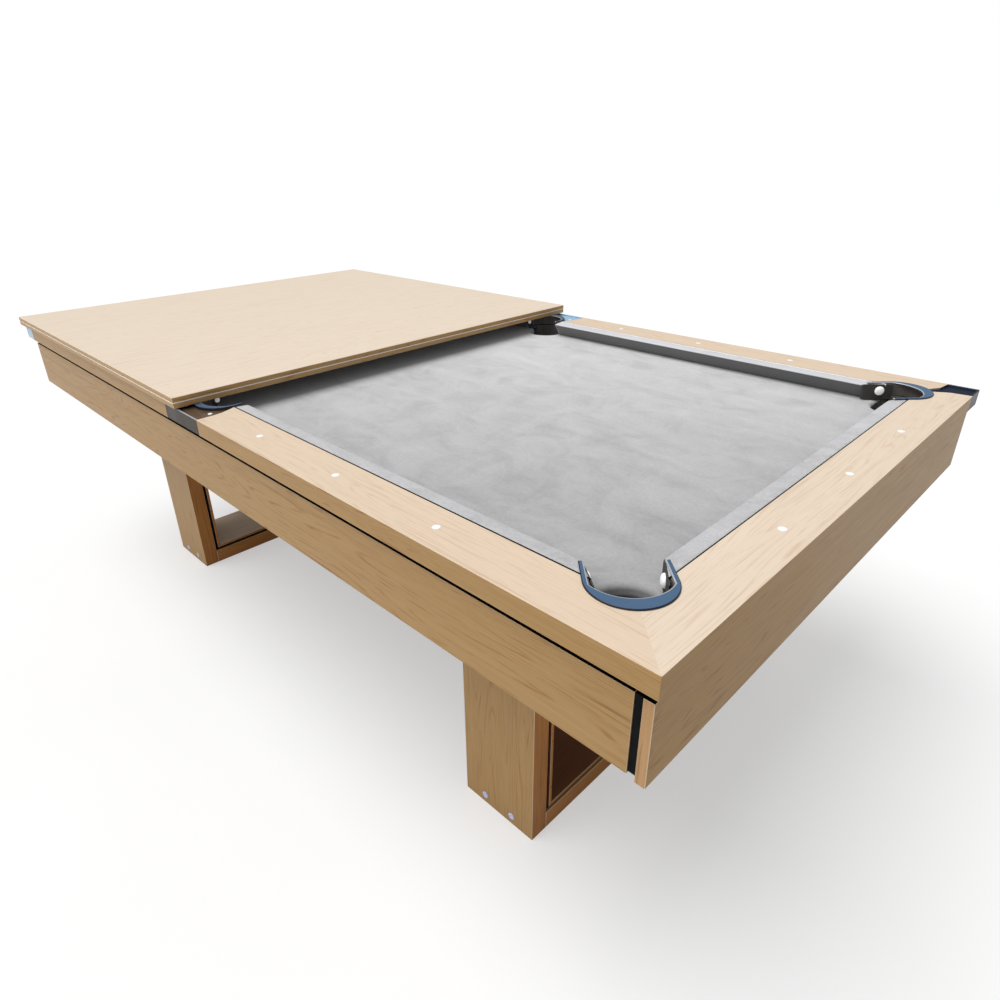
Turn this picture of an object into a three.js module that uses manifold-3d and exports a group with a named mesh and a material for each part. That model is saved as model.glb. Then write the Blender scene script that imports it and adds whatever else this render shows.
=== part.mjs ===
// A slate pool table with six drop pockets, a light oak cabinet, two box-frame legs
// and a two-panel dining top that is stacked over the left half of the bed.
// Millimetres, +Z up, +X along the table. Faces that would touch keep a gap of 0.3 mm.
import * as THREE from 'three';
import { mergeVertices } from 'three/addons/utils/BufferGeometryUtils.js';
import Module from 'manifold-3d';

const wasm = await Module();
wasm.setup();

// ---- driving dimensions -------------------------------------------------------------
const LENGTH = 2522;           // outside of the rails, end to end
const WIDTH = 1372;            // outside of the rails, side to side
const RAIL_TOP = 822;          // height of the wooden rail above the floor
const RAIL_WIDTH = 98;         // wooden part of a rail, seen from above
const RAIL_DEPTH = 37;         // visible height of a rail's outer face
const CUSHION_WIDTH = 35;      // from the wooden rail to the cushion's nose
const BED_TOP = 780;           // playing surface, top of the slate
const SLATE_DEPTH = 25;
const APRON_TOP = 769.3;
const APRON_BOTTOM = 635;
const LEG_TOP = 654.7;
const GAP = 0.3;

const HALF_L = LENGTH / 2;
const HALF_W = WIDTH / 2;
const WOOD_X = HALF_L - RAIL_WIDTH;      // inner edge of the end rails' wood
const WOOD_Y = HALF_W - RAIL_WIDTH;      // inner edge of the side rails' wood
const NOSE_X = WOOD_X - CUSHION_WIDTH;
const NOSE_Y = WOOD_Y - CUSHION_WIDTH;
const RAIL_BOTTOM = BED_TOP + 1;         // the rail's foot stands on the clothed slate
const FACE_BOTTOM = RAIL_TOP - RAIL_DEPTH;
const LIP = 22;                          // outer strip of a rail that stops above its foot

// ---- the dining top, pushed to the left end -------------------------------------------
const PANEL_LEFT = -1288.3;
const PANEL_RIGHT = -13;
const PANEL_HALF_W = 693.4;
const PANEL_DEPTH = 12.2;
const FELT_DEPTH = 2.7;
const SPACER_DEPTH = 1.4;                // foam spacer between the two panels
const PANEL_Z = RAIL_TOP + GAP + FELT_DEPTH + GAP;

// The origin is on the floor under the middle of the whole outline, dining top included.
const SHIFT_X = -(PANEL_LEFT + HALF_L) / 2;

// ---- materials -----------------------------------------------------------------------
const finish = (color, roughness, metalness = 0) => () =>
  new THREE.MeshStandardMaterial({ color, roughness, metalness });
const oak = finish(0xcfb28a, 0.45);
const oakTop = finish(0xe3cfae, 0.4);
const cloth = finish(0xb4b4b4, 0.95);
const blueSteel = finish(0x3f5a7c, 0.35, 0.8);
const gunmetal = finish(0x5c564d, 0.4, 0.85);
const blackPlastic = finish(0x141516, 0.6);
const slateGrey = finish(0x54585a, 0.85);
const plywood = finish(0xa98a5f, 0.75);
const foam = finish(0xd8d6d0, 0.9);

// ---- solids --------------------------------------------------------------------------
const table = new THREE.Group();
table.position.x = SHIFT_X;

function add(name, geometry, material) {
  const mesh = new THREE.Mesh(geometry, material());
  mesh.name = name;
  table.add(mesh);
}

function box(x0, x1, y0, y1, z0, z1) {
  const geometry = new THREE.BoxGeometry(Math.abs(x1 - x0), Math.abs(y1 - y0), z1 - z0);
  return geometry.translate((x0 + x1) / 2, (y0 + y1) / 2, (z0 + z1) / 2);
}

function outline(points) {
  return new THREE.Shape(points.map(([x, y]) => new THREE.Vector2(x, y)));
}

function prism(points, z0, z1) {
  const shape = points instanceof THREE.Shape ? points : outline(points);
  const geometry = new THREE.ExtrudeGeometry(shape, { depth: z1 - z0, bevelEnabled: false });
  return geometry.translate(0, 0, z0);
}

function cylinder(x, y, radius, z0, z1, sides = 40) {
  const geometry = new THREE.CylinderGeometry(radius, radius, z1 - z0, sides);
  return geometry.rotateX(Math.PI / 2).translate(x, y, (z0 + z1) / 2);
}

function toManifold(geometry) {
  const bare = geometry.clone();
  bare.deleteAttribute('normal');
  bare.deleteAttribute('uv');
  const merged = mergeVertices(bare, 1e-4);
  const vertProperties = new Float32Array(merged.attributes.position.array);
  const triVerts = new Uint32Array(merged.index.array);
  return new wasm.Manifold(new wasm.Mesh({ numProp: 3, vertProperties, triVerts }));
}

function toGeometry(solid) {
  const mesh = solid.getMesh();
  const geometry = new THREE.BufferGeometry();
  geometry.setAttribute('position', new THREE.BufferAttribute(mesh.vertProperties, 3));
  geometry.setIndex(new THREE.BufferAttribute(mesh.triVerts, 1));
  geometry.computeVertexNormals();
  return geometry;
}

const cut = (blank, ...tools) =>
  toGeometry(tools.reduce((solid, tool) => solid.subtract(toManifold(tool)), toManifold(blank)));
const join = (...pieces) =>
  toGeometry(pieces.map(toManifold).reduce((solid, piece) => solid.add(piece)));
const common = (first, second) => toGeometry(toManifold(first).intersect(toManifold(second)));

// ---- pockets -------------------------------------------------------------------------
// Each pocket has its own axes: s points outward from the pocket's centre to the cabinet,
// t runs across the mouth. The iron is a crescent with two short arms over the cushions.
const corner = {
  voidR: 60, ironR: 66, armEnd: 51, armTip: 65, armInner: 57.5, apex: 41, kink: 9,
  cupR: 55.5, notchR: 57, cupFloor: 662,
};
const side = {
  voidR: 58, ironR: 64, armEnd: 20, armTip: 62, armInner: 56, apex: 46, kink: 7,
  cupR: 52.5, notchR: 54, cupFloor: 662,
};
const CORNER_X = NOSE_X + 2;
const CORNER_Y = NOSE_Y + 2;
const SIDE_Y = WOOD_Y - 4;
const IRON_DEPTH = 2.7;
const BACK_FROM = 7;           // the pocket's raised back starts here along s
const REACH = 100;             // half-size of the blocks that cut round pocket pieces

const pockets = [];
for (const [row, sy] of [['near', -1], ['far', 1]]) {
  for (const [column, sx] of [['left', -1], ['right', 1]]) {
    const [x, y, angle] = [sx * CORNER_X, sy * CORNER_Y, Math.atan2(sy, sx)];
    pockets.push({ ...corner, name: `${row}_${column}`, x, y, angle });
  }
  pockets.push({ ...side, name: `${row}_side`, x: 0, y: sy * SIDE_Y, angle: sy * Math.PI / 2 });
}

const placed = (geometry, pocket) =>
  geometry.rotateZ(pocket.angle).translate(pocket.x, pocket.y, 0);

function ironShape({ ironR, armEnd, armTip, armInner, apex, kink }) {
  const sagitta = apex - kink;
  const arcR = (armInner ** 2 + sagitta ** 2) / (2 * sagitta);
  const half = Math.asin(armInner / arcR);
  const shape = new THREE.Shape();
  shape.moveTo(-armEnd, -armTip);
  shape.lineTo(0, -ironR);
  shape.absarc(0, 0, ironR, -Math.PI / 2, Math.PI / 2, false);
  shape.lineTo(-armEnd, armTip);
  shape.lineTo(-armEnd, armInner);
  shape.lineTo(kink, armInner);
  shape.absarc(apex - arcR, 0, arcR, half, -half, true);
  shape.lineTo(-armEnd, -armInner);
  return shape;
}

const IRON_WALL = 3.6;
const WALL_DEPTH = 30;         // the iron's back wall, below the rail's top

function pocketIron(pocket) {
  const flange = new THREE.ExtrudeGeometry(ironShape(pocket), {
    depth: IRON_DEPTH, bevelEnabled: false, curveSegments: 14,
  }).translate(0, 0, RAIL_TOP + GAP);
  const outer = pocket.voidR - 0.4;
  const wallBottom = RAIL_TOP - WALL_DEPTH;
  const ring = cut(
    cylinder(0, 0, outer, wallBottom, RAIL_TOP + 1),
    cylinder(0, 0, outer - IRON_WALL, wallBottom - 1, RAIL_TOP + 2),
    box(-REACH, BACK_FROM, -REACH, REACH, wallBottom - 1, RAIL_TOP + 2),
  );
  return placed(join(flange, ring), pocket);
}

// On the bed side the cup starts under the slate, so that the cloth can turn down into it.
function pocketCup(pocket) {
  const { cupR, cupFloor } = pocket;
  const wall = 3;
  const top = RAIL_TOP - WALL_DEPTH - 1;
  const profile = [
    [0, cupFloor], [cupR - 12, cupFloor], [cupR - 4, cupFloor + 10], [cupR, cupFloor + 30], [cupR, top],
    [cupR - wall, top], [cupR - wall, cupFloor + 31], [cupR - 7, cupFloor + 13],
    [cupR - 14, cupFloor + wall], [0, cupFloor + wall],
  ].map(([r, z]) => new THREE.Vector2(r, z));
  const turned = new THREE.LatheGeometry(profile, 32).rotateX(Math.PI / 2);
  const mouth = box(-REACH, BACK_FROM, -REACH, REACH, BED_TOP - SLATE_DEPTH - 5, top + 1);
  return placed(cut(turned, mouth), pocket);
}

// A U-shaped notch that opens outward, for the slate and the cloth.
function notch(pocket, radius, z0, z1) {
  const reach = 240;
  const shape = new THREE.Shape();
  shape.moveTo(reach, -radius);
  shape.lineTo(reach, radius);
  shape.lineTo(0, radius);
  shape.absarc(0, 0, radius, Math.PI / 2, Math.PI * 1.5, false);
  return placed(prism(shape, z0, z1), pocket);
}

for (const pocket of pockets) {
  add(`pocket_iron_${pocket.name}`, pocketIron(pocket), blueSteel);
  add(`pocket_cup_${pocket.name}`, pocketCup(pocket), blackPlastic);
}

// ---- metal corner castings and side brackets --------------------------------------------
// Plan outlines in the pocket's own axes, from the iron out to the cabinet's faces.
const CASTING_REACH = 65;      // along each outer face, from the corner
const cornerS = Math.hypot(HALF_L - CORNER_X, HALF_W - CORNER_Y);
const castingDiagonal = CASTING_REACH / Math.SQRT2;
const castingPlan = (grow) => {
  const edge = [[60 - grow, 7 + grow], [104, 19 + grow],
    [cornerS - castingDiagonal, castingDiagonal + grow * 1.5]];
  return [...edge.map(([s, t]) => [s, -t]), [cornerS + grow, 0], ...edge.reverse()];
};
const BRACKET_HALF = 84.9;
const bracketS = HALF_W - SIDE_Y;
const bracketPlan = (grow) => {
  const edge = [[bracketS + grow, BRACKET_HALF], [58, 84], [38, 80], [20, 72.5], [4.6, 66.5]];
  const upper = edge.map(([s, t]) => [s, t + grow]);
  const lower = edge.map(([s, t]) => [s, -t - grow]).reverse();
  return [...upper, ...lower];
};
const PLATE_TOP = RAIL_TOP - 4;          // the cap's plate is recessed behind its outer wall
const CAP_WALL = 4;
const HOLLOW = 0.84;                     // the hollow under a cap, as a share of its outline

function cap(pocket, plan, walls) {
  const middle = pocket.ironR + 40;
  const inside = plan(0).map(([s, t]) => [middle + (s - middle) * HOLLOW, t * HOLLOW]);
  const plate = placed(prism(plan(0), FACE_BOTTOM, PLATE_TOP), pocket);
  const hollow = placed(prism(inside, FACE_BOTTOM - 1, PLATE_TOP - CAP_WALL), pocket);
  const well = cylinder(pocket.x, pocket.y, pocket.voidR + GAP, FACE_BOTTOM - 1, RAIL_TOP + 1);
  return cut(join(plate, ...walls), hollow, well);
}

function cornerCasting(pocket) {
  const sx = Math.sign(pocket.x);
  const sy = Math.sign(pocket.y);
  const inX = sx * (HALF_L - CASTING_REACH);
  const inY = sy * (HALF_W - CASTING_REACH);
  const walls = [
    box(inX, sx * HALF_L, sy * (HALF_W - CAP_WALL), sy * HALF_W, FACE_BOTTOM, RAIL_TOP),
    box(sx * (HALF_L - CAP_WALL), sx * HALF_L, inY, sy * HALF_W, FACE_BOTTOM, RAIL_TOP),
  ];
  return cap(pocket, castingPlan, walls);
}

function sideBracket(pocket) {
  const sy = Math.sign(pocket.y);
  const wall = box(-BRACKET_HALF, BRACKET_HALF, sy * (HALF_W - CAP_WALL), sy * HALF_W,
    FACE_BOTTOM, RAIL_TOP);
  return cap(pocket, bracketPlan, [wall]);
}

// The near right corner is a plain mitre; the other three have a casting.
const hasCasting = (pocket) => pocket.x !== 0 && pocket.name !== 'near_right';
for (const pocket of pockets) {
  if (pocket.x === 0) add(`side_bracket_${pocket.name.split('_')[0]}`, sideBracket(pocket), gunmetal);
  else if (hasCasting(pocket)) add(`corner_casting_${pocket.name}`, cornerCasting(pocket), blueSteel);
}

// ---- rails and cushions -----------------------------------------------------------------
const OVER = 5;                // cutting tools run this far past what they cut
const railTools = [];
for (const sign of [-1, 1]) {
  railTools.push(
    box(-2000, 2000, sign * (HALF_W - LIP), sign * (HALF_W + OVER), RAIL_BOTTOM - OVER, FACE_BOTTOM),
    box(sign * (HALF_L - LIP), sign * (HALF_L + OVER), -2000, 2000, RAIL_BOTTOM - OVER, FACE_BOTTOM),
  );
}
for (const pocket of pockets) {
  railTools.push(cylinder(pocket.x, pocket.y, pocket.voidR, RAIL_BOTTOM - OVER, RAIL_TOP + OVER));
  const plan = pocket.x === 0 ? bracketPlan : castingPlan;
  if (pocket.x === 0 || hasCasting(pocket)) {
    railTools.push(placed(prism(plan(0.4), RAIL_BOTTOM - OVER, RAIL_TOP + OVER), pocket));
  }
}

const MITRE = GAP / 2;
const sideRailPlan = (sx, sy) => [
  [sx * 60, sy * WOOD_Y], [sx * (WOOD_X - MITRE), sy * WOOD_Y],
  [sx * (HALF_L - MITRE), sy * HALF_W], [sx * 60, sy * HALF_W],
];
const endRailPlan = (sx) => [
  [sx * WOOD_X, -WOOD_Y + MITRE], [sx * HALF_L, -HALF_W + MITRE],
  [sx * HALF_L, HALF_W - MITRE], [sx * WOOD_X, WOOD_Y - MITRE],
];

// Cushion section: d runs from the wood to the nose.
const NOSE_Z = BED_TOP + 36;
const cushionSection = [
  [0.3, RAIL_BOTTOM + 0.5], [11, RAIL_BOTTOM + 0.5], [33, NOSE_Z - 3.5], [CUSHION_WIDTH, NOSE_Z],
  [CUSHION_WIDTH - 1.5, NOSE_Z + 2.6], [CUSHION_WIDTH - 5, NOSE_Z + 3.6],
  [8, RAIL_TOP - 0.8], [0.3, RAIL_TOP - 1],
];
const MOUTH = 82;              // from the crossing of the nose lines to the cushion's end
const CORNER_BEVEL = 45;       // how far the facing runs back along the rail
const SIDE_NOSE = 64;
const SIDE_BACK = 61.5;

// Runs the section along the table. The matrix takes (d, height, run) to table axes, and a
// matrix that mirrors turns every triangle over.
function cushionRun(length, ...matrix) {
  const section = outline(cushionSection);
  const geometry = new THREE.ExtrudeGeometry(section, { depth: length, bevelEnabled: false });
  const toTable = new THREE.Matrix4().set(...matrix);
  geometry.applyMatrix4(toTable);
  if (toTable.determinant() < 0) {
    const { array } = geometry.attributes.position;
    for (let i = 0; i < array.length; i += 9) {
      for (let k = i; k < i + 3; k += 1) [array[k + 3], array[k + 6]] = [array[k + 6], array[k + 3]];
    }
  }
  return geometry;
}

function sideCushion(sx, sy) {
  const run = cushionRun(HALF_L, 0, 0, sx, 0, -sy, 0, 0, sy * WOOD_Y, 0, 1, 0, 0, 0, 0, 0, 1);
  const noseEnd = NOSE_X - MOUTH;
  const plan = [
    [sx * SIDE_BACK, sy * (WOOD_Y + 1)], [sx * (noseEnd + CORNER_BEVEL), sy * (WOOD_Y + 1)],
    [sx * noseEnd, sy * (NOSE_Y - 1)], [sx * SIDE_NOSE, sy * (NOSE_Y - 1)],
  ];
  return common(run, prism(plan, RAIL_BOTTOM - OVER, RAIL_TOP + OVER));
}

function endCushion(sx) {
  const run = cushionRun(WIDTH, -sx, 0, 0, sx * WOOD_X, 0, 0, 1, -HALF_W, 0, 1, 0, 0, 0, 0, 0, 1);
  const noseEnd = NOSE_Y - MOUTH;
  const plan = [
    [sx * (WOOD_X + 1), -noseEnd - CORNER_BEVEL], [sx * (WOOD_X + 1), noseEnd + CORNER_BEVEL],
    [sx * (NOSE_X - 1), noseEnd], [sx * (NOSE_X - 1), -noseEnd],
  ];
  return common(run, prism(plan, RAIL_BOTTOM - OVER, RAIL_TOP + OVER));
}

for (const [row, sy] of [['near', -1], ['far', 1]]) {
  for (const [column, sx] of [['left', -1], ['right', 1]]) {
    const blank = prism(sideRailPlan(sx, sy), RAIL_BOTTOM, RAIL_TOP);
    add(`side_rail_${row}_${column}`, cut(blank, ...railTools), oakTop);
    add(`side_cushion_${row}_${column}`, sideCushion(sx, sy), cloth);
  }
}
for (const [column, sx] of [['left', -1], ['right', 1]]) {
  add(`end_rail_${column}`, cut(prism(endRailPlan(sx), RAIL_BOTTOM, RAIL_TOP), ...railTools), oakTop);
  add(`end_cushion_${column}`, endCushion(sx), cloth);
}

// ---- slate and cloth --------------------------------------------------------------------
const SLATE_HALF_L = 1215;
const SLATE_HALF_W = 655;
const SLATE_TOP = BED_TOP - 0.8;
const CLOTH_BOTTOM = SLATE_TOP + 0.2;
const CLOTH_EDGE = 8;          // the cloth stops this far inside the slate's edge
const EASING = 8;              // the slate's top edge is bevelled this much at each pocket

function easedEdge(pocket) {
  const [top, bottom] = [pocket.notchR + EASING + 1, pocket.notchR];
  const cone = new THREE.CylinderGeometry(top, bottom, EASING + 1, 64).rotateX(Math.PI / 2);
  return cone.translate(pocket.x, pocket.y, SLATE_TOP - EASING + (EASING + 1) / 2);
}

const slateJoints = [-SLATE_HALF_L, -SLATE_HALF_L / 3, SLATE_HALF_L / 3, SLATE_HALF_L];

['left', 'middle', 'right'].forEach((name, i) => {
  const blank = box(slateJoints[i] + GAP / 2, slateJoints[i + 1] - GAP / 2,
    -SLATE_HALF_W, SLATE_HALF_W, SLATE_TOP - SLATE_DEPTH, SLATE_TOP);
  const tools = pockets.flatMap((pocket) => [
    notch(pocket, pocket.notchR, SLATE_TOP - SLATE_DEPTH - OVER, BED_TOP), easedEdge(pocket)]);
  add(`slate_${name}`, cut(blank, ...tools), slateGrey);
});

const clothBlank = box(CLOTH_EDGE - SLATE_HALF_L, SLATE_HALF_L - CLOTH_EDGE,
  CLOTH_EDGE - SLATE_HALF_W, SLATE_HALF_W - CLOTH_EDGE, CLOTH_BOTTOM, BED_TOP);
const clothTools = pockets.map((pocket) =>
  notch(pocket, pocket.notchR + EASING + 0.5, CLOTH_BOTTOM - OVER, BED_TOP + OVER));
add('bed_cloth', cut(clothBlank, ...clothTools), cloth);

// ---- cabinet ----------------------------------------------------------------------------
const FRAME_TOP = SLATE_TOP - SLATE_DEPTH - GAP;
const APRON_FACE = HALF_W - 9.8;
const BOARD = 16;
const APRON_LEFT = -1216;
const APRON_RIGHT = 1223.5;
const END_PANEL_FACE = 1252.5;
const STRIP_FACE = 674.6;       // outer face of the black strips at the right end
const STRIP_BACK = 640;

for (const [row, sy] of [['near', -1], ['far', 1]]) {
  const [face, back] = [sy * APRON_FACE, sy * (APRON_FACE - BOARD)];
  add(`side_apron_${row}`, box(APRON_LEFT, APRON_RIGHT, back, face, APRON_BOTTOM, APRON_TOP), oak);
  const strip = box(APRON_RIGHT + GAP, END_PANEL_FACE - BOARD - GAP,
    sy * STRIP_BACK, sy * STRIP_FACE, APRON_BOTTOM + 4, APRON_TOP - 1);
  add(`corner_strip_${row}`, strip, blackPlastic);
}
const END_PANEL_NEAR = -677.5;
const END_PANEL_FAR = 667;
add('end_panel_right', box(END_PANEL_FACE - BOARD, END_PANEL_FACE, END_PANEL_NEAR, END_PANEL_FAR,
  APRON_BOTTOM - 4, APRON_TOP), oak);
const INNER_HALF_W = APRON_FACE - BOARD - GAP;
add('end_panel_left', box(APRON_LEFT, APRON_LEFT + BOARD, -INNER_HALF_W, INNER_HALF_W,
  APRON_BOTTOM, FRAME_TOP), oak);

// ---- frame under the slate ----------------------------------------------------------------
const FRAME_BOTTOM = LEG_TOP + GAP;
const LONG_BEAM_IN = 640;
for (const [row, sy] of [['near', -1], ['far', 1]]) {
  add(`long_beam_${row}`, box(APRON_LEFT + BOARD + GAP, APRON_RIGHT - GAP, sy * LONG_BEAM_IN,
    sy * INNER_HALF_W, FRAME_BOTTOM, FRAME_TOP), plywood);
}
const LEG_IN = 690;            // inner face of a leg, along X
const LEG_LONG = 203.4;        // depth of a leg, along X
const LEG_X = LEG_IN + LEG_LONG / 2;
const crossBeams = [
  ['leg_beam_left', -LEG_X, 90], ['slate_beam_left', slateJoints[1], 70],
  ['slate_beam_right', slateJoints[2], 70], ['leg_beam_right', LEG_X, 90],
];
for (const [name, x, width] of crossBeams) {
  add(name, box(x - width / 2, x + width / 2, GAP - LONG_BEAM_IN, LONG_BEAM_IN - GAP,
    FRAME_BOTTOM, FRAME_TOP), plywood);
}

// ---- legs -------------------------------------------------------------------------------
// Each leg is a box frame of four boards, with a black reveal and a thin liner inside it.
const LEG_HALF_W = 471.3;
const LEG_BOARD = 46;
const REVEAL = 10;
const REVEAL_RECESS = 6;
const LINER = 8;

function frameRing(x, inset, depth, halfLength, name, material) {
  const [outerY, bottom, top] = [LEG_HALF_W - inset, inset, LEG_TOP - inset];
  const outer = box(x - halfLength, x + halfLength, -outerY, outerY, bottom, top);
  const inner = box(x - halfLength - OVER, x + halfLength + OVER,
    depth - outerY, outerY - depth, bottom + depth, top - depth);
  add(name, cut(outer, inner), material);
}

for (const [column, sx] of [['left', -1], ['right', 1]]) {
  const x = sx * LEG_X;
  const [x0, x1] = [x - LEG_LONG / 2, x + LEG_LONG / 2];
  const inner = LEG_HALF_W - LEG_BOARD;
  for (const [row, sy] of [['near', -1], ['far', 1]]) {
    add(`leg_post_${column}_${row}`, box(x0, x1, sy * inner, sy * LEG_HALF_W, 0, LEG_TOP), oak);
  }
  add(`leg_base_${column}`, box(x0, x1, GAP - inner, inner - GAP, 0, LEG_BOARD), oak);
  add(`leg_top_${column}`, box(x0, x1, GAP - inner, inner - GAP, LEG_TOP - LEG_BOARD, LEG_TOP), oak);
  frameRing(x, LEG_BOARD + GAP, REVEAL - 2 * GAP, LEG_LONG / 2 - REVEAL_RECESS,
    `leg_reveal_${column}`, blackPlastic);
  frameRing(x, LEG_BOARD + REVEAL, LINER, LEG_LONG / 2 - 1, `leg_liner_${column}`, oak);
}

// ---- dining top ---------------------------------------------------------------------------
const FELT_OUT = 680;
const FELT_IN = 657;
const FELT_LEFT = -1252;
const FELT_RIGHT = PANEL_RIGHT - 7;
const FELT_BACK = FELT_LEFT + FELT_OUT - FELT_IN;
const feltPlan = [
  [FELT_RIGHT, -FELT_OUT], [FELT_RIGHT, -FELT_IN], [FELT_BACK, -FELT_IN], [FELT_BACK, FELT_IN],
  [FELT_RIGHT, FELT_IN], [FELT_RIGHT, FELT_OUT], [FELT_LEFT, FELT_OUT], [FELT_LEFT, -FELT_OUT],
];
add('dining_felt_strip', prism(feltPlan, RAIL_TOP + GAP, RAIL_TOP + GAP + FELT_DEPTH), foam);
const UPPER_Z = PANEL_Z + PANEL_DEPTH + SPACER_DEPTH;
for (const [name, z] of [['dining_panel_lower', PANEL_Z], ['dining_panel_upper', UPPER_Z]]) {
  add(name, box(PANEL_LEFT, PANEL_RIGHT, -PANEL_HALF_W, PANEL_HALF_W, z, z + PANEL_DEPTH), oakTop);
}

export default table;
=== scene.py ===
"""A slate pool table with a two-panel dining top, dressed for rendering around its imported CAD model.

Plan positions are written in millimetres in the table's own frame, whose origin is under the middle
of the rails, and place() turns them into metres in the frame that the CAD and Blender share.
"""

import math

import bmesh
import bpy
from mathutils import Matrix, Vector, geometry


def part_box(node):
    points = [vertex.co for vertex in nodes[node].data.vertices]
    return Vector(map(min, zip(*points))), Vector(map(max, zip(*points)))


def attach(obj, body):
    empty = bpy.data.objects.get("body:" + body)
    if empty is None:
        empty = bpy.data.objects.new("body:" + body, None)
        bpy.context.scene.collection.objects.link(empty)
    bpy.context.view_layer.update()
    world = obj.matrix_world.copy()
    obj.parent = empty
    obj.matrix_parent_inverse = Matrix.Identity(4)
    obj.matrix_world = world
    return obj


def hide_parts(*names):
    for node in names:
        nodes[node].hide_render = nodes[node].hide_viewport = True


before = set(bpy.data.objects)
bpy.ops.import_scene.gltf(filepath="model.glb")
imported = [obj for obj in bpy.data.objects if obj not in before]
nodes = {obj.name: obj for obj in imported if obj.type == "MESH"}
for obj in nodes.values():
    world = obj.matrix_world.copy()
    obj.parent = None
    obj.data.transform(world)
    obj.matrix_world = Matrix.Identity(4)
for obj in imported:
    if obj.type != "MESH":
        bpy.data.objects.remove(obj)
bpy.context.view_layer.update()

# ---- sizes, taken from the CAD nodes ------------------------------------------------------
MM = 0.001


def span(node):
    """Lowest and highest corner of a CAD node, in millimetres."""
    low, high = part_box(node)
    return low / MM, high / MM


left_end, right_end = span("end_rail_left"), span("end_rail_right")
SHIFT_X = (left_end[0].x + right_end[1].x) / 2
HALF_L = (right_end[1].x - left_end[0].x) / 2
HALF_W = -span("side_rail_near_right")[0].y
RAIL_TOP = right_end[1].z
RAIL_BOTTOM = right_end[0].z
RAIL_WIDTH = 98
FACE_BOTTOM = RAIL_TOP - 37      # lower edge of the rail's outer face
WOOD_X = HALF_L - RAIL_WIDTH
WOOD_Y = HALF_W - RAIL_WIDTH
CUSHION = 35                     # from the wood to the cushion's nose
NOSE_X = WOOD_X - CUSHION
NOSE_Y = WOOD_Y - CUSHION
BED = span("bed_cloth")[1].z


def place(x, y, z):
    """From the table's frame in millimetres to the shared frame in metres."""
    return Vector(((x + SHIFT_X) * MM, y * MM, z * MM))


# ---- camera -------------------------------------------------------------------------------
def add_camera():
    """A wide view from above the near right corner. Its axes are unit vectors."""
    data = bpy.data.cameras.new("camera")
    data.sensor_width = 36
    data.lens = 24.652
    data.shift_x, data.shift_y = 0.0092, -0.0094
    data.clip_start, data.clip_end = 0.05, 100
    camera = bpy.data.objects.new("camera", data)
    right = Vector((0.70883161, 0.70526705, -0.01249504))
    down = Vector((0.30529903, -0.32271461, -0.89590612))
    ahead = Vector((-0.6358854, 0.63123186, -0.44406767))
    turn = Matrix((right, -down, -ahead)).transposed().to_4x4()
    camera.matrix_world = Matrix.Translation((1.55699, -1.22704, 1.34132)) @ turn
    bpy.context.scene.collection.objects.link(camera)
    bpy.context.scene.camera = camera


add_camera()


# ---- materials ----------------------------------------------------------------------------
def srgb(*display):
    """A linear colour from three display values of 0 to 255."""
    def linear(v):
        v /= 255
        return v / 12.92 if v <= 0.04045 else ((v + 0.055) / 1.055) ** 2.4
    return (*(linear(v) for v in display), 1.0)


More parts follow.
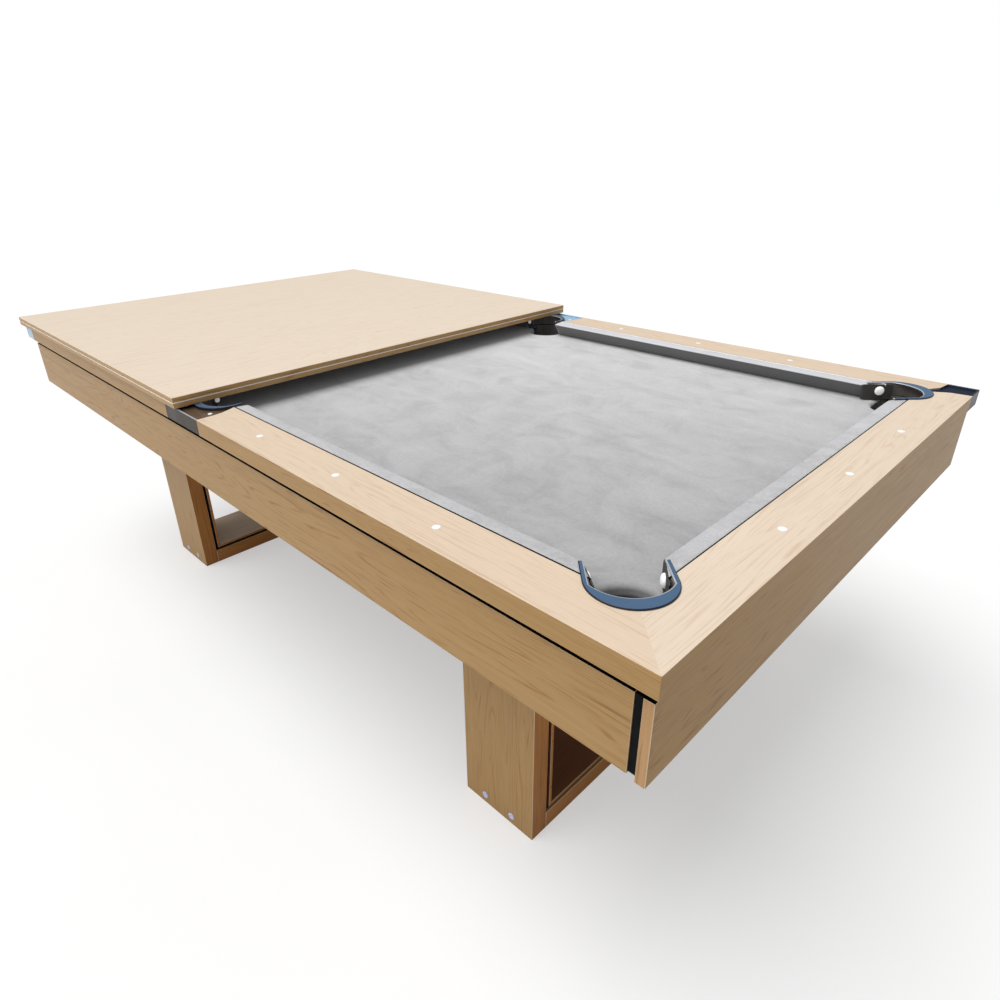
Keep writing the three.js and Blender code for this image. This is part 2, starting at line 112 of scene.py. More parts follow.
class Shade:
    """One material's node tree, built up call by call."""

    def __init__(self, name, **values):
        self.material = bpy.data.materials.new(name)
        self.material.use_nodes = True
        self.tree = self.material.node_tree
        self.tree.nodes.clear()
        self.bsdf = self.node("BsdfPrincipled", values)
        self.output = self.node("OutputMaterial", {"Surface": self.bsdf.outputs[0]})
        self.coords = self.node("TexCoord")
        self.where = self.coords.outputs["Object"]

    def node(self, kind, values=None, **settings):
        made = self.tree.nodes.new("ShaderNode" + kind)
        for key, value in settings.items():
            setattr(made, key, value)
        for key, value in (values or {}).items():
            if isinstance(value, bpy.types.NodeSocket):
                self.tree.links.new(value, made.inputs[key])
            else:
                made.inputs[key].default_value = value
        return made

    def stretch(self, scale, offset=(0, 0, 0)):
        values = {"Vector": self.where, "Scale": scale, "Location": offset}
        return self.node("Mapping", values).outputs[0]

    def noise(self, vector, scale, detail, rough, bend=0.0):
        values = {
            "Vector": vector, "Scale": scale, "Detail": detail, "Roughness": rough, "Distortion": bend,
        }
        return self.node("TexNoise", values).outputs["Fac"]

    def range(self, value, low, high, to_low=0.0, to_high=1.0):
        values = {
            "Value": value, "From Min": low, "From Max": high, "To Min": to_low, "To Max": to_high,
        }
        return self.node("MapRange", values).outputs[0]

    def math(self, operation, first, second=0.0):
        return self.node("Math", {0: first, 1: second}, operation=operation).outputs[0]

    def blend(self, *shares):
        """A sum of values, each times its share."""
        total, *rest = [self.math("MULTIPLY", value, share) for value, share in shares]
        for part in rest:
            total = self.math("ADD", total, part)
        return total

    def ramp(self, factor, *stops):
        made = self.node("ValToRGB", {"Fac": factor})
        elements = made.color_ramp.elements
        while len(elements) < len(stops):
            elements.new(1.0)
        for element, (position, color) in zip(elements, stops):
            element.position, element.color = position, color
        return made.outputs[0]

    def mix(self, factor, first, second, blend="MIX"):
        made = self.node("Mix", {0: factor, 6: first, 7: second}, data_type="RGBA", blend_type=blend)
        return made.outputs[2]

    def tint(self, color, by):
        """A colour times a colour or a value."""
        return self.mix(1.0, color, by, "MULTIPLY")

    def normal(self, axis):
        return self.node("SeparateXYZ", {0: self.coords.outputs["Normal"]}).outputs[axis]

    def facing(self, axis, low=0.55, high=0.85, both=True):
        """1 where the surface faces along an axis of the object."""
        part = self.normal(axis)
        return self.range(self.math("ABSOLUTE", part) if both else part, low, high)

    def finish(self, color, rough=None, bump=None, strength=0.1, distance=0.001):
        self.tree.links.new(color, self.bsdf.inputs["Base Color"])
        if rough is not None:
            self.tree.links.new(rough, self.bsdf.inputs["Roughness"])
        if bump is not None:
            values = {"Height": bump, "Strength": strength, "Distance": distance}
            made = self.node("Bump", values)
            self.tree.links.new(made.outputs[0], self.bsdf.inputs["Normal"])
        return self.material


def scaled(color, *factors):
    """A colour with its three channels times the factors, or times the one factor."""
    factors = factors if len(factors) == 3 else factors * 3
    return (*(min(1, v * factor) for v, factor in zip(color, factors)), 1)


X, Y, Z = 0, 1, 2
OAK_SIDE = srgb(170, 135, 86)
# Darker side tone for the end rails and end panels, which face along X: painted shade.
OAK_SHADE_END_SIDE = srgb(150, 116, 64)
# Paler, greyer top tones for the side and end rails, this and the next: painted sheen.
OAK_SHEEN_TOP = srgb(222, 201, 177)
OAK_SHEEN_END_TOP = srgb(226, 208, 187)
OAK_EDGE = srgb(178, 143, 96)
# Darker, redder tone for the leg boards' faces that look along X: painted shade.
OAK_SHADE_LEG_SIDE = srgb(160, 106, 52)
# Pale tone for the chamfers: a painted highlight.
OAK_CHAMFER_HIGHLIGHT = srgb(232, 214, 188)
WHITE = (1, 1, 1, 1)


def oak(name, axis, side=OAK_SIDE, top=OAK_SHEEN_TOP, edge=None, edge_axis=X, edge_run=Z, seed=0.0,
        contrast=1.0, up=1.0, red=1.0, under=None):
    """Oak-look laminate with its grain along one axis. It has fine grain, thin growth lines that close
    into arches, short pores, a paler top face and pale chamfers. On the rails the paler, greyer top is
    painted sheen, and the pale chamfers are a painted highlight. Where edge is given, an edge band with
    its grain along edge_run covers the faces that look along edge_axis; on the legs its darker, redder
    tone is painted shade. up packs the lines closer in height, red deepens their red cast, and under is
    the darker tone of a face that looks down, painted shade."""
    shade = Shade(name, **{"Roughness": 0.45, "Specular IOR Level": 0.2})
    offset = (seed, seed * 1.7, seed * 0.6)

    def grain(along, across, detail, rough, bend=0.0, run=axis):
        scale = [along if i == run else across for i in range(3)]
        scale[Z] *= up if run != Z else 1
        return shade.noise(shade.stretch(scale, offset), 1, detail, rough, bend)

    fine = grain(5, 270, 3, 0.6)
    streak = grain(2.6, 100, 4, 0.6, 0.4)
    broad = grain(1.2, 6, 2, 0.5)
    pattern = shade.range(shade.blend((fine, 0.46), (streak, 0.44), (broad, 0.10)), 0.37, 0.62)
    # Growth lines are the contours of a long, slow noise, and a shorter noise breaks them up.
    figure = grain(0.85, 12, 2, 0.4, 0.12)
    rings = shade.math("PINGPONG", shade.math("MULTIPLY", figure, 32), 0.5)
    breaks = shade.range(grain(16, 130, 2, 0.5), 0.42, 0.6, 0.08, 1)
    lines = shade.math("MULTIPLY", shade.range(rings, 0.02, 0.2, 1, 0), breaks)

    def tones(color, spread, grain_value=pattern):
        dark = scaled(color, 1 - 0.26 * spread, 1 - 0.32 * spread, 1 - 0.38 * spread)
        light = scaled(color, 1 + 0.10 * spread)
        return shade.ramp(grain_value, (0.0, dark), (0.34, color), (0.7, color), (1.0, light))

    def lined(color, depth):
        depth *= contrast
        line = (1 - depth * 0.62, 1 - depth * red, 1 - depth * 1.3 * red, 1)
        return shade.mix(lines, color, shade.tint(color, line))

    # On the side and end rails the paler, greyer top tone is painted sheen.
    color = shade.mix(shade.facing(Z, both=False), lined(tones(side, 0.85 * contrast), 0.36),
                      lined(tones(top, 0.4 * contrast), 0.15))
    if edge is not None:
        band = shade.range(grain(7, 210, 3, 0.6, run=edge_run), 0.36, 0.62)
        color = shade.mix(shade.facing(edge_axis), color, tones(edge, 0.9 * contrast, band))
    # A face that looks down gets the under tone: painted shade, which also keeps it from lighting the cloth
    # below.
    if under is not None:
        down = shade.range(shade.normal(Z), -0.85, -0.55, 1, 0)
        color = shade.mix(down, color, tones(under, contrast))
    pores = shade.range(grain(22, 700, 2, 0.5), 0.3, 0.4, 0.9, 1.0)
    color = shade.tint(color, pores)
    # A chamfer is where the surface faces along none of the three axes. Its pale tone is a painted
    # highlight.
    flat = [shade.math("ABSOLUTE", shade.normal(i)) for i in range(3)]
    most = shade.math("MAXIMUM", shade.math("MAXIMUM", flat[0], flat[1]), flat[2])
    color = shade.mix(shade.range(most, 0.8, 0.95, 0.6, 0), color, OAK_CHAMFER_HIGHLIGHT)
    return shade.finish(color, shade.range(fine, 0.3, 0.7, 0.36, 0.5), fine, 0.12, 0.0004)


def cloth(name, color, pile, nose=None, sheen_slope=None):
    """Short-napped cloth: brushed patches, a fine fibre speckle and a soft sheen. pile deepens the
    patches and flecks, nose is a darker tone for the underside of a cushion, painted shade, and lie is
    how much lighter the cloth is towards the far left, a painted sheen."""
    shade = Shade(name, **{
        "Roughness": 0.92, "Specular IOR Level": 0.15, "Sheen Weight": 0.7, "Sheen Roughness": 0.45,
    })
    patches = shade.noise(shade.where, 8, 6, 0.66, 1.3)
    brushed = shade.noise(shade.stretch((3, 14, 14)), 1, 4, 0.6, 0.6)
    fibre = shade.noise(shade.where, 900, 2, 0.6)
    nap = shade.range(shade.blend((patches, 0.62), (brushed, 0.38)), 0.32, 0.68)
    low, high = scaled(color, 1 - 0.2 * pile), scaled(color, 1 + 0.14 * pile)
    tone = shade.ramp(nap, (0.0, low), (0.5, color), (1.0, high))
    speckle = shade.range(fibre, 0.3, 0.7, 0.94, 1.05)
    flecks = shade.noise(shade.where, 160, 3, 0.7)
    flecks = shade.range(flecks, 0.3, 0.7, 1 - 0.07 * pile, 1 + 0.06 * pile)
    tone = shade.tint(tone, shade.math("MULTIPLY", speckle, flecks))
    # Lighter towards the far left, darker towards the near right: a painted sheen.
    if sheen_slope is not None:
        far_left = (-0.42, 0.62, 0)
        along = shade.node("VectorMath", {0: shade.where, 1: far_left}, operation="DOT_PRODUCT")
        tone = shade.tint(tone, shade.range(along.outputs["Value"], -0.85, 0.45, 1 - sheen_slope, 1 + sheen_slope))
    # The cushion's underside takes the darker nose tone: painted shade.
    if nose is not None:
        tone = shade.mix(shade.facing(Z, -0.1, 0.35, both=False), nose, tone)
    return shade.finish(tone, None, fibre, 0.25, 0.0004)


def plain(name, color, spread, rough=0.5, metal=0.0, gloss=0.5, glow=0.0, scale=60.0, bump=0.05,
          stretch=(1, 1, 1)):
    """A finish with slight mottle in colour and gloss, for metal, plastic, rubber, slate and felt.
    spread is how far apart the mottle's colours are, and scale how fine it is."""
    shade = Shade(name, **{
        "Metallic": metal, "Roughness": rough, "Specular IOR Level": gloss,
        "Emission Color": WHITE, "Emission Strength": glow,
    })
    grain = shade.noise(shade.stretch(stretch), scale, 4, 0.6)
    smear = shade.noise(shade.where, scale * 0.15, 3, 0.55)
    tone = shade.ramp(shade.blend((grain, 0.5), (smear, 0.5)), (0.32, scaled(color, 1 - spread)),
                      (0.5, color), (0.68, scaled(color, 1 + spread)))
    wear = shade.range(smear, 0.3, 0.7, max(0.05, rough * 0.8), min(1.0, rough * 1.2))
    return shade.finish(tone, wear, grain, bump, 0.0005)


oak_x = oak("oak_side_rail", X, up=1.7)
# The end rail's darker side is painted shade and its paler top painted sheen.
oak_y = oak("oak_end_rail", Y, side=OAK_SHADE_END_SIDE, top=OAK_SHEEN_END_TOP, seed=3.1, up=1.7, red=1.15, contrast=0.85)
oak_apron = oak("oak_apron", X, top=OAK_SIDE, seed=5.3)
# The end panel's darker side is painted shade.
oak_panel = oak("oak_end_panel", Y, side=OAK_SHADE_END_SIDE, top=OAK_SIDE, edge=srgb(180, 140, 96), edge_axis=Y,
                seed=7.9)
# The legs' edge bands on their X faces, here and in the next three, are painted shade.
oak_post = oak("oak_leg_post", Z, top=OAK_SIDE, edge=OAK_SHADE_LEG_SIDE, seed=2.2, contrast=0.8)
oak_base = oak("oak_leg_board", Y, top=OAK_SIDE, edge=srgb(170, 116, 62), edge_run=Y, seed=9.4)
# Left and right liners are lit and shaded copies of one board: the right one's darker tones are painted
# shade.
oak_liner_lit = oak("oak_liner_left", Y, side=srgb(128, 90, 60), top=srgb(214, 194, 168), edge=OAK_SHADE_LEG_SIDE,
                     edge_run=Y, seed=4.4)
oak_liner_shaded = oak("oak_liner_right", Y, side=srgb(104, 66, 42), top=srgb(122, 80, 54), edge=OAK_SHADE_LEG_SIDE,
                     edge_run=Y, seed=1.4)
oak_dining = oak("oak_dining_top", Y, side=OAK_EDGE, top=srgb(229, 213, 193), seed=6.7, contrast=0.8,
                 under=srgb(70, 52, 36))
# Darker tone for the cushions' undersides: painted shade.
CUSHION_SHADE = srgb(104, 104, 104)
bed_cloth_look = cloth("cloth_bed", srgb(193, 193, 194), pile=1.0, sheen_slope=0.34)
cushion_look = cloth("cloth_cushion", srgb(196, 196, 198), pile=1.3, nose=CUSHION_SHADE, sheen_slope=0.16)
# The far cushion cloth is a lighter, smoother copy of the cushion cloth: painted sheen.
lit_far_cushion_look = cloth("cloth_cushion_far", srgb(210, 210, 214), pile=0.5, nose=CUSHION_SHADE)
blue_film = plain("metal_blue_film", srgb(72, 102, 134), rough=0.4, metal=0.15, spread=0.1, scale=40)
navy_edge = plain("metal_navy_edge", srgb(20, 28, 44), rough=0.45, metal=0.1, spread=0.15)
bright_edge = plain("metal_bright_edge", srgb(215, 218, 224), rough=0.25, metal=0.6, spread=0.05, scale=80)
pale_film = plain("metal_pale_film", srgb(158, 192, 218), rough=0.35, metal=0.1, spread=0.06, scale=30)
deep_film = plain("metal_deep_film", srgb(9, 28, 50), spread=0.5, scale=22, gloss=0.15)
grey_blue = plain("metal_grey_blue", srgb(58, 68, 78), rough=0.45, metal=0.1, spread=0.16, scale=40,
                  gloss=0.3)
brown_steel = plain("metal_brown_steel", srgb(124, 100, 82), rough=0.28, metal=0.5, spread=0.25, scale=9,
                    bump=0.03, stretch=(1, 9, 1))
gunmetal = plain("metal_gunmetal", srgb(54, 46, 37), rough=0.45, metal=0.15, spread=0.16, scale=50,
                 bump=0.04, stretch=(6, 1, 1), gloss=0.3)
# Near-black: in the gaps and grooves that it fills, under the rails, in the legs and beside the near
# cushions, it is painted shade.
black_plastic = plain("plastic_black", srgb(4, 4, 5), rough=0.6, spread=0.2, scale=200, gloss=0.08)
rubber = plain("rubber_facing", srgb(66, 64, 63), rough=0.8, spread=0.25, scale=220, bump=0.25)
liner_look = plain("pocket_liner", srgb(98, 93, 90), rough=0.75, spread=0.3, scale=90, bump=0.2,
                   stretch=(1, 1, 0.2))
white_plastic = plain("plastic_white", srgb(250, 250, 251), rough=0.3, spread=0.02, scale=90, bump=0.02)
# The caps glow a little so that they read white in the shade: painted light.
glowing_cap_look = plain("plastic_cap", srgb(250, 250, 251), rough=0.3, spread=0.02, scale=90, bump=0.02,
                 glow=0.22)
bolt_look = plain("metal_bolt", srgb(190, 204, 246), rough=0.3, metal=0.2, spread=0.06, scale=200)
slate_look = plain("stone_slate", srgb(84, 88, 90), rough=0.8, spread=0.2, scale=25, bump=0.2)
felt_look = plain("felt_strip", srgb(205, 202, 196), rough=0.95, spread=0.08, scale=700, bump=0.4)
foam_look = plain("foam_spacer", srgb(252, 252, 250), rough=0.85, spread=0.05, scale=500, bump=0.3)
PLYWOOD = srgb(176, 142, 98)
ply_look = oak("plywood_frame", X, side=PLYWOOD, top=PLYWOOD, seed=8.8, contrast=1.3)


# ---- CAD nodes: finish and softened edges ---------------------------------------------------
def soften(obj, width):
    """Chamfers the node's sharp edges, after its coplanar triangles are merged."""
    weld = obj.modifiers.new("weld", "WELD")
    weld.merge_threshold = 1e-5
    planar = obj.modifiers.new("planar", "DECIMATE")
    planar.decimate_type = "DISSOLVE"
    planar.angle_limit = math.radians(0.4)
    bevel = obj.modifiers.new("bevel", "BEVEL")
    bevel.width = width
    bevel.segments = 1
    bevel.limit_method = "ANGLE"
    bevel.angle_limit = math.radians(40)
    bevel.use_clamp_overlap = True


def dress(names, look, edge_mm):
    """Gives CAD nodes their material and a chamfer of edge_mm."""
    for name in names:
        node = nodes[name]
        if not node.material_slots:
            node.data.materials.append(look)
        for slot in node.material_slots:
            slot.material = look
        soften(node, edge_mm * MM)


def named(*starts):
    return [name for name in sorted(nodes) if name.startswith(starts)]


dress(named("side_rail"), oak_x, 0.9)
dress(named("end_rail"), oak_y, 0.9)
dress(named("side_apron"), oak_apron, 0.4)
dress(named("end_panel"), oak_panel, 0.8)
dress(named("leg_post"), oak_post, 0.8)
dress(named("leg_base", "leg_top"), oak_base, 0.8)
dress(["leg_liner_left"], oak_liner_lit, 0.5)
dress(["leg_liner_right"], oak_liner_shaded, 0.5)
# The leg reveals are black as painted shade in the grooves between the boards.
dress(named("leg_reveal", "corner_strip"), black_plastic, 0.4)
dress(named("dining_panel"), oak_dining, 0.9)
dress(named("dining_felt"), felt_look, 0.5)
dress(named("slate_left", "slate_middle", "slate_right"), slate_look, 0.6)
dress(named("long_beam", "leg_beam", "slate_beam"), ply_look, 0.6)
dress(named("pocket_cup"), liner_look, 0.4)


# ---- building meshes ------------------------------------------------------------------------
def add_piece(name, vertices, faces, looks, face_looks=None, *, slot, body="table", smooth=False):
    """A mesh in the shared frame that rides on a body. face_looks gives each face's material."""
    mesh = bpy.data.meshes.new(name)
    mesh.from_pydata([tuple(v) for v in vertices], [], faces)
    for look in looks:
        mesh.materials.append(look)
    if face_looks:
        mesh.polygons.foreach_set("material_index", face_looks)
    mesh.polygons.foreach_set("use_smooth", [smooth] * len(mesh.polygons))
    mesh.validate()
    obj = bpy.data.objects.new(name, mesh)
    bpy.context.scene.collection.objects.link(obj)
    tool = bmesh.new()
    tool.from_mesh(mesh)
    bmesh.ops.recalc_face_normals(tool, faces=tool.faces)
    tool.to_mesh(mesh)
    tool.free()
    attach(obj, body)
    return obj


def loft(rings, cap=True):
    """Vertices and quads through equal closed rings of points, with end caps."""
    count = len(rings[0])
    vertices = [point for ring in rings for point in ring]
    faces = []
    for r in range(len(rings) - 1):
        for i in range(count):
            j = (i + 1) % count
            faces.append((r * count + i, r * count + j, (r + 1) * count + j, (r + 1) * count + i))
    if cap:
        faces.append(tuple(range(count))[::-1])
        faces.append(tuple(range((len(rings) - 1) * count, len(rings) * count)))
    return vertices, faces


def turned(name, centre, axis, profile, look, sides=24, **how):
    """A turned piece: profile is (radius, height) along axis from centre, in millimetres."""
    axis = Vector(axis).normalized()
    across = axis.orthogonal().normalized()
    over = axis.cross(across)
    rings = []
    for radius, height in profile:
        ring = []
        for i in range(sides):
            a = 2 * math.pi * i / sides
            offset = across * (math.cos(a) * radius) + over * (math.sin(a) * radius) + axis * height
            ring.append(place(*(Vector(centre) + offset)))
        rings.append(ring)
    vertices, faces = loft(rings)
    add_piece(name, vertices, faces, [look], smooth=True, **how)


# ---- pockets --------------------------------------------------------------------------------
# Radii in plan are void for the opening in the wood, iron for the iron's outside, and notch for the
# hole in the slate. The iron's arms reach arm_end inward, between arm_in and arm_tip across, and its
# inner side is one arc from kink to apex outward.
CORNER = dict(void=60, iron=66, arm_end=51, arm_tip=65, arm_in=57.5, apex=41, kink=9, notch=57)
SIDE = dict(void=58, iron=64, arm_end=20, arm_tip=62, arm_in=56, apex=46, kink=7, notch=54)
CORNER_OUT, SIDE_IN = 2, 4       # from the crossing of the noses, and from the wood's edge
IRON_TOP = span("pocket_iron_near_right")[1].z
IRON_BOTTOM = IRON_TOP - 2.7
WALL_FOOT = 792                  # the liner wall under the iron ends here
WING_FOOT = 753
ROWS = (("near", -1), ("far", 1))
COLUMNS = (("left", -1), ("right", 1))
pockets = []
for row, sy in ROWS:
    for column, sx in COLUMNS:
        pockets.append(dict(CORNER, name=f"{row}_{column}", x=sx * (NOSE_X + CORNER_OUT),
                            y=sy * (NOSE_Y + CORNER_OUT), turn=math.atan2(sy, sx)))
    pockets.append(dict(SIDE, name=f"{row}_side", x=0, y=sy * (WOOD_Y - SIDE_IN), turn=sy * math.pi / 2))


def in_pocket(pocket, s, t, z):
    """From the pocket's own axes, s outward and t across, to the shared frame."""
    c, n = math.cos(pocket["turn"]), math.sin(pocket["turn"])
    return place(pocket["x"] + c * s - n * t, pocket["y"] + n * s + c * t, z)


def around(pocket, angle, section):
    """A ring of (radius, z) points at one angle about the pocket's centre."""
    return [in_pocket(pocket, r * math.cos(angle), r * math.sin(angle), z) for r, z in section]


def arc(middle, radius, start, end, steps):
    """Points of an arc whose centre is on the first axis, middle along it."""
    angles = [start + (end - start) * i / steps for i in range(steps + 1)]
    return [(middle + radius * math.cos(a), radius * math.sin(a)) for a in angles]


def iron_outline(p):
    """The iron's plan as a closed loop, with a flag for the points on its inner side."""
    sagitta = p["apex"] - p["kink"]
    radius = (p["arm_in"] ** 2 + sagitta ** 2) / (2 * sagitta)
    half = math.asin(p["arm_in"] / radius)
    end, middle, tip, inside = p["arm_end"], p["arm_end"] / 2, p["arm_tip"], p["arm_in"]
    shoulder = (tip + p["iron"]) / 2
    outer = [(-end, -tip), (-middle, -shoulder)]
    outer += arc(0, p["iron"], -math.pi / 2, math.pi / 2, 44)
    outer += [(-middle, shoulder), (-end, tip)]
    inner = [(-end, inside), (-middle, inside)]
    inner += arc(p["apex"] - radius, radius, half, -half, 36)
    inner += [(-middle, -inside), (-end, -inside)]
    return [(point, False) for point in outer] + [(point, True) for point in inner]


def inset_loop(points, distance):
    """Each point moved inward by distance along the mean normal of its two edges."""
    moved = []
    count = len(points)
    for i in range(count):
        before, here, after = (Vector(points[k % count]) for k in (i - 1, i, i + 1))
        first, second = (here - before).normalized(), (after - here).normalized()
        normals = [Vector((-edge.y, edge.x)) for edge in (first, second)]
        mean = (normals[0] + normals[1]).normalized()
        reach = distance / max(0.5, mean.dot(normals[0]))
        moved.append(tuple(here + mean * reach))
    return moved


def add_iron(pocket):
    """The iron's flange, blue on top, navy round the outside and bright round the inside."""
    outline = iron_outline(pocket)
    points = [point for point, _ in outline]
    count = len(points)
    eased, outer_brim, inner_brim = (inset_loop(points, inset) for inset in (0.5, 1.3, 2.1))
    brim = [inner_brim[i] if inner else outer_brim[i] for i, (_, inner) in enumerate(outline)]
    levels = [
        (eased, IRON_BOTTOM), (points, IRON_BOTTOM + 0.5),
        (points, IRON_TOP - 1.3), (eased, IRON_TOP - 0.4), (brim, IRON_TOP),
    ]
    vertices, faces = loft([[in_pocket(pocket, s, t, z) for s, t in loop] for loop, z in levels])
    top, outside, inside = range(3)
    looks = []
    for face in faces[:-2]:
        i = face[0] % count
        inner = outline[i][1] or outline[(i + 1) % count][1]
        looks.append(inside if inner else outside)
    looks += [outside, top]
    obj = add_piece(f"iron_{pocket['name']}", vertices, faces, [blue_film, navy_edge, bright_edge], looks,
                    slot="pocket_iron")
    add_iron_wall(pocket)
    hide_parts(f"pocket_iron_{pocket['name']}")


def add_iron_wall(pocket):
    """The liner wall that hangs from the iron round the outer side of the pocket."""
    outer = pocket["void"] - 0.4
    inner = outer - 3.6
    sweep = math.radians(98 if pocket["x"] else 85.5)
    section = [(outer, IRON_BOTTOM - 0.2), (outer, WALL_FOOT + 1), (outer - 1, WALL_FOOT),
               (inner + 1, WALL_FOOT), (inner, WALL_FOOT + 1), (inner, IRON_BOTTOM - 0.2)]
    steps = 48
    vertices, faces = loft([around(pocket, -sweep + 2 * sweep * i / steps, section)
                            for i in range(steps + 1)])
    add_piece(f"iron_wall_{pocket['name']}", vertices, faces, [liner_look], slot="pocket_iron")


def add_wings(pocket):
    """Two curved liner plates inside the slate's hole, between the iron's wall and the hanging cloth."""
    outer = pocket["notch"] - 1.4
    inner = outer - 1.2
    steps = 16
    for side, sign in (("a", -1), ("b", 1)):
        rings = []
        for i in range(steps + 1):
            share = i / steps
            top = BED + 1.5 - 14 * share ** 1.5
            section = [(outer, WING_FOOT), (outer, top), (inner, top), (inner, WING_FOOT)]
            rings.append(around(pocket, sign * math.radians(88 + 48 * share), section))
        vertices, faces = loft(rings)
        add_piece(f"pocket_wing_{side}_{pocket['name']}", vertices, faces, [liner_look],
                  slot="black_plastic")


for pocket in pockets:
    add_iron(pocket)
    if pocket["x"]:
        add_wings(pocket)

# ---- cushions -------------------------------------------------------------------------------
# (d, z) from the wood at d 0 to the nose, going round; the step at the top leaves room for the strip
# that holds the cloth in its groove.
SECTION = [
    (0.4, RAIL_BOTTOM + 0.8), (1.2, RAIL_BOTTOM + 0.5), (10, RAIL_BOTTOM + 0.5), (11.4, RAIL_BOTTOM + 1.2),
    (22, BED + 16.5), (31.5, BED + 30), (33.4, BED + 32.9), (34.6, BED + 35), (35, BED + 36.6),
    (34.6, BED + 38.0), (33.4, BED + 39), (31, BED + 39.7), (26, BED + 40.2), (16, BED + 40.9),
    (8, BED + 41.2), (5.2, BED + 41.0), (4.4, BED + 40.4), (4.2, BED + 39.4), (4.1, BED + 37.2),
    (0.4, BED + 37),
]
STRIP_WIDE = {"side": 3.5, "end": 2.2}
STEP = (4, 5.5)                  # the section's points at the step, which follow the strip's width
STRIP_LOW, STRIP_HIGH = BED + 37.3, BED + 41.6
MOUTH = 82                       # from the crossing of two noses to where a nose ends at the corner
BEVEL = 45                       # how much further than its nose a cushion's back reaches there
SIDE_NOSE, SIDE_BACK = 64, 61.5  # where nose and back end at the side pocket, from its middle
FACING = 4.0                     # thickness of the rubber facing on a cushion's end
SIDE_MOUTH, END_MOUTH = NOSE_X - MOUTH, NOSE_Y - MOUTH


def corner_end(nose, d):
    return nose + BEVEL * (1 - d / CUSHION)


def side_end(d):
    return SIDE_BACK + (SIDE_NOSE - SIDE_BACK) * d / CUSHION


def cushion_spec(kind, sx, sy):
    """Where a cushion's two ends are at depth d, and the step from (run, d, z) to the shared frame."""
    if kind == "side":
        ends = (side_end, lambda d: corner_end(SIDE_MOUTH, d))
        return ends, lambda u, d, z: place(sx * u, sy * (WOOD_Y - d), z)
    ends = (lambda d: -corner_end(END_MOUTH, d), lambda d: corner_end(END_MOUTH, d))
    return ends, lambda u, d, z: place(sx * (WOOD_X - d), u, z)


def add_cushion(kind, spot, sx, sy):
    """A cushion, lofted along its run, and the strip that holds its cloth in the rail's groove."""
    (start, end), to_row = cushion_spec(kind, sx, sy)

    def run(d, k):
        return (start(d) + FACING) * (1 - k) + (end(d) - FACING) * k

    middle = Vector((14, BED + 24))
    rings = []
    for k in [0, 0.004, 0.02] + [i / 24 for i in range(1, 24)] + [0.98, 0.996, 1]:
        shrink = 0.98 if k in (0, 1) else 1.0
        ring = []
        for d, z in SECTION:
            if STEP[0] < d < STEP[1]:
                d -= STRIP_WIDE["side"] - STRIP_WIDE[kind]
            moved = middle + (Vector((d, z)) - middle) * shrink
            ring.append(to_row(run(d, k), max(0.35, moved.x), moved.y))
        rings.append(ring)
    vertices, faces = loft(rings)
    far = kind == "side" and sy > 0
    # The far side cushions take the lighter copy of the cloth, a painted sheen.
    look = lit_far_cushion_look if far else cushion_look
    obj = add_piece(f"cushion_{kind}_{spot}", vertices, faces, [look], slot="cloth")
    obj.data.polygons.foreach_set("use_smooth", [len(p.vertices) == 4 for p in obj.data.polygons])
    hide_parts(f"{kind}_cushion_{spot}")

    wide = STRIP_WIDE[kind]
    rings = []
    for k in (0, 0.001, 0.999, 1):
        ease = 0.3 if k in (0, 1) else 0.0
        back, front, high = 0.4 + ease, 0.4 + wide - ease, STRIP_HIGH - ease
        rings.append([to_row(run(0, k), d, z) for d, z in (
            (back, STRIP_LOW), (front, STRIP_LOW), (front, high - 0.4), (wide, high), (0.8, high),
            (back, high - 0.4))])
    vertices, faces = loft(rings)
    # Black strips on the near side and ends are painted shadow in the groove; the white far strip is a
    # painted highlight.
    strip_look = white_plastic if far else black_plastic
    add_piece(f"feather_strip_{kind}_{spot}", vertices, faces, [strip_look], slot="black_plastic")


